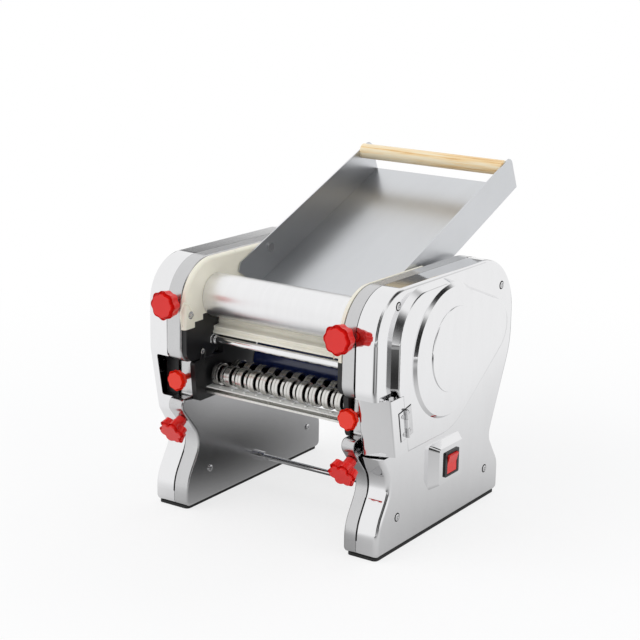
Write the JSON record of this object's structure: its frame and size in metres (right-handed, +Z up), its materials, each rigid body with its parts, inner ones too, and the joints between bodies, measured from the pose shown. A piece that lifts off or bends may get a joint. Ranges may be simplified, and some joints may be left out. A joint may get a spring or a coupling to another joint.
{
  "type": "electric pasta maker",
  "caption": "Countertop electric pasta maker: steel side housings, dough rollers with an adjustable gap, noodle cutter cassette, tilting steel dough tray and gear door.",
  "frame": {"origin": "centre of the bounding box's base, on the table under the machine", "axes": "+X along the rollers to the switch side, +Y from the knobs at the front to the tray, +Z up"},
  "size_m": [0.381, 0.495, 0.4574],
  "materials": {
    "shell_steel": "mirror-polished stainless sheet",
    "inner_steel": "brushed stainless sheet",
    "tray_steel": "bright stainless sheet",
    "roller_steel": "ground and polished",
    "bright_rod": "polished",
    "cutter_steel": "satin",
    "cream_plastic": "glossy",
    "white_plastic": "semi-gloss",
    "black_plastic": "semi-gloss",
    "red_plastic": "glossy",
    "orange_plastic": "glossy",
    "handle_wood": "lacquered pale wood",
    "motor_paint": "gloss navy",
    "casting": "as cast",
    "gear_steel": "hobbed, oiled",
    "bronze": "turned",
    "rubber_black": "matt",
    "screw_steel": "bright"
  },
  "bodies": {
    "housing": {"inner_shell_left": "inner_steel", "inner_shell_right": "inner_steel", "outer_cover_left": "shell_steel", "outer_cover_right": "shell_steel", "window_liner": "black_plastic", "hinge_leaf": "screw_steel", "switch_bezel": "black_plastic", "bearing_frame_left": "casting", "bearing_frame_right": "casting", "rear_bushes": "bronze", "gear_studs": "gear_steel", "motor_case": "motor_paint", "motor_end_bell": "motor_paint", "roller_guard_left": "cream_plastic", "roller_guard_right": "cream_plastic", "side_bracket_left": "black_plastic", "side_bracket_right": "black_plastic", "guide_bar": "bright_rod", "front_scraper": "cream_plastic", "rear_scraper": "cream_plastic", "cutter_plate_left": "black_plastic", "cutter_plate_right": "black_plastic", "front_comb": "white_plastic", "rear_comb": "white_plastic", "chute_rail": "cutter_steel", "lower_tie_rod": "bright_rod", "upper_tie_rod": "bright_rod", "foot_strip_left": "rubber_black", "foot_strip_right": "rubber_black", "cord_bush": "rubber_black", "pivot_studs": "screw_steel", "cover_screws": "screw_steel"},
    "front_carriage": {"front_bearing_left": "bronze", "front_bearing_right": "bronze"},
    "front_roller_body": {"front_roller": "roller_steel", "front_roller_gear": "gear_steel"},
    "rear_roller_body": {"rear_roller": "roller_steel", "rear_roller_gear": "gear_steel", "drive_gear": "gear_steel"},
    "layshaft": {"layshaft_gear": "gear_steel"},
    "motor_rotor_body": {"motor_rotor": "gear_steel", "motor_pinion": "gear_steel"},
    "idler": {"idler_gear": "gear_steel"},
    "front_cutter_body": {"front_cutter": "cutter_steel", "front_cutter_gear": "gear_steel"},
    "rear_cutter_body": {"rear_cutter": "cutter_steel", "rear_cutter_gear": "gear_steel"},
    "top_knob_left_body": {"top_knob_left": "red_plastic", "top_screw_left": "bright_rod"},
    "top_knob_right_body": {"top_knob_right": "red_plastic", "top_screw_right": "bright_rod"},
    "mid_knob_left_body": {"mid_knob_left": "orange_plastic"},
    "mid_knob_right_body": {"mid_knob_right": "orange_plastic"},
    "low_knob_left_body": {"low_knob_left": "red_plastic"},
    "low_knob_right_body": {"low_knob_right": "red_plastic"},
    "tray": {"tray_pan": "tray_steel", "tray_handle": "handle_wood"},
    "door": {"gear_door": "shell_steel"},
    "rocker_body": {"rocker": "red_plastic"}
  },
  "joints": [
    {"name": "front_roller_slide", "type": "slide", "parent": "housing", "child": "front_carriage", "axis": [0, -1, 0], "range_m": [0, 0.003]},
    {"name": "front_roller_spin", "type": "hinge", "parent": "front_carriage", "child": "front_roller_body", "pos_m": [-0.00476, -0.15165, 0.297], "axis": [1, 0, 0], "continuous": true},
    {"name": "rear_roller_spin", "type": "hinge", "parent": "housing", "child": "rear_roller_body", "pos_m": [-0.00476, -0.09727, 0.27164], "axis": [1, 0, 0], "continuous": true},
    {"name": "layshaft_spin", "type": "hinge", "parent": "housing", "child": "layshaft", "pos_m": [0.14524, -0.04941, 0.25133], "axis": [1, 0, 0], "continuous": true},
    {"name": "motor_spin", "type": "hinge", "parent": "housing", "child": "motor_rotor_body", "pos_m": [-0.00476, -0.07042, 0.19512], "axis": [1, 0, 0], "continuous": true},
    {"name": "idler_spin", "type": "hinge", "parent": "housing", "child": "idler", "pos_m": [-0.15476, -0.10494, 0.21819], "axis": [1, 0, 0], "continuous": true},
    {"name": "front_cutter_spin", "type": "hinge", "parent": "housing", "child": "front_cutter_body", "pos_m": [-0.00476, -0.15465, 0.187], "axis": [1, 0, 0], "continuous": true},
    {"name": "rear_cutter_spin", "type": "hinge", "parent": "housing", "child": "rear_cutter_body", "pos_m": [-0.00476, -0.12665, 0.187], "axis": [1, 0, 0], "continuous": true},
    {"name": "top_knob_left_turn", "type": "hinge", "parent": "housing", "child": "top_knob_left_body", "pos_m": [-0.14191, -0.22465, 0.297], "axis": [0, -1, 0], "range_deg": [0, 720]},
    {"name": "top_knob_right_turn", "type": "hinge", "parent": "housing", "child": "top_knob_right_body", "pos_m": [0.13239, -0.22465, 0.297], "axis": [0, -1, 0], "range_deg": [0, 720]},
    {"name": "mid_knob_left_turn", "type": "hinge", "parent": "housing", "child": "mid_knob_left_body", "pos_m": [-0.14191, -0.20465, 0.1878], "axis": [0, -1, 0], "range_deg": [0, 720]},
    {"name": "mid_knob_right_turn", "type": "hinge", "parent": "housing", "child": "mid_knob_right_body", "pos_m": [0.13239, -0.20465, 0.1878], "axis": [0, -1, 0], "range_deg": [0, 720]},
    {"name": "low_knob_left_turn", "type": "hinge", "parent": "housing", "child": "low_knob_left_body", "pos_m": [-0.14191, -0.20428, 0.13114], "axis": [0, -0.866, -0.5], "range_deg": [0, 720]},
    {"name": "low_knob_right_turn", "type": "hinge", "parent": "housing", "child": "low_knob_right_body", "pos_m": [0.13239, -0.20428, 0.13114], "axis": [0, -0.866, -0.5], "range_deg": [0, 720]},
    {"name": "tray_tilt", "type": "hinge", "parent": "housing", "child": "tray", "pos_m": [-0.00476, -0.03148, 0.34067], "axis": [1, 0, 0], "range_deg": [0, 9]},
    {"name": "door_hinge", "type": "hinge", "parent": "housing", "child": "door", "pos_m": [0.18644, -0.16119, 0.1785], "axis": [0, -0.19, 0.9818], "range_deg": [0, 100]},
    {"name": "switch_rock", "type": "hinge", "parent": "housing", "child": "rocker_body", "pos_m": [0.18324, -0.04265, 0.092], "axis": [0, -1, 0], "range_deg": [0, 16]}
  ],
  "couplings": [
    {"joint": "front_roller_spin", "follows": "rear_roller_spin", "ratio": -1},
    {"joint": "idler_spin", "follows": "rear_roller_spin", "ratio": -1.25},
    {"joint": "rear_cutter_spin", "follows": "rear_roller_spin", "ratio": 2.1429},
    {"joint": "front_cutter_spin", "follows": "rear_roller_spin", "ratio": -2.1429},
    {"joint": "layshaft_spin", "follows": "rear_roller_spin", "ratio": -2.7143},
    {"joint": "motor_spin", "follows": "rear_roller_spin", "ratio": 10.857},
    {"joint": "top_knob_left_turn", "follows": "front_roller_slide", "rad_per_m": 4188.8},
    {"joint": "top_knob_right_turn", "follows": "front_roller_slide", "rad_per_m": 4188.8}
  ]
}
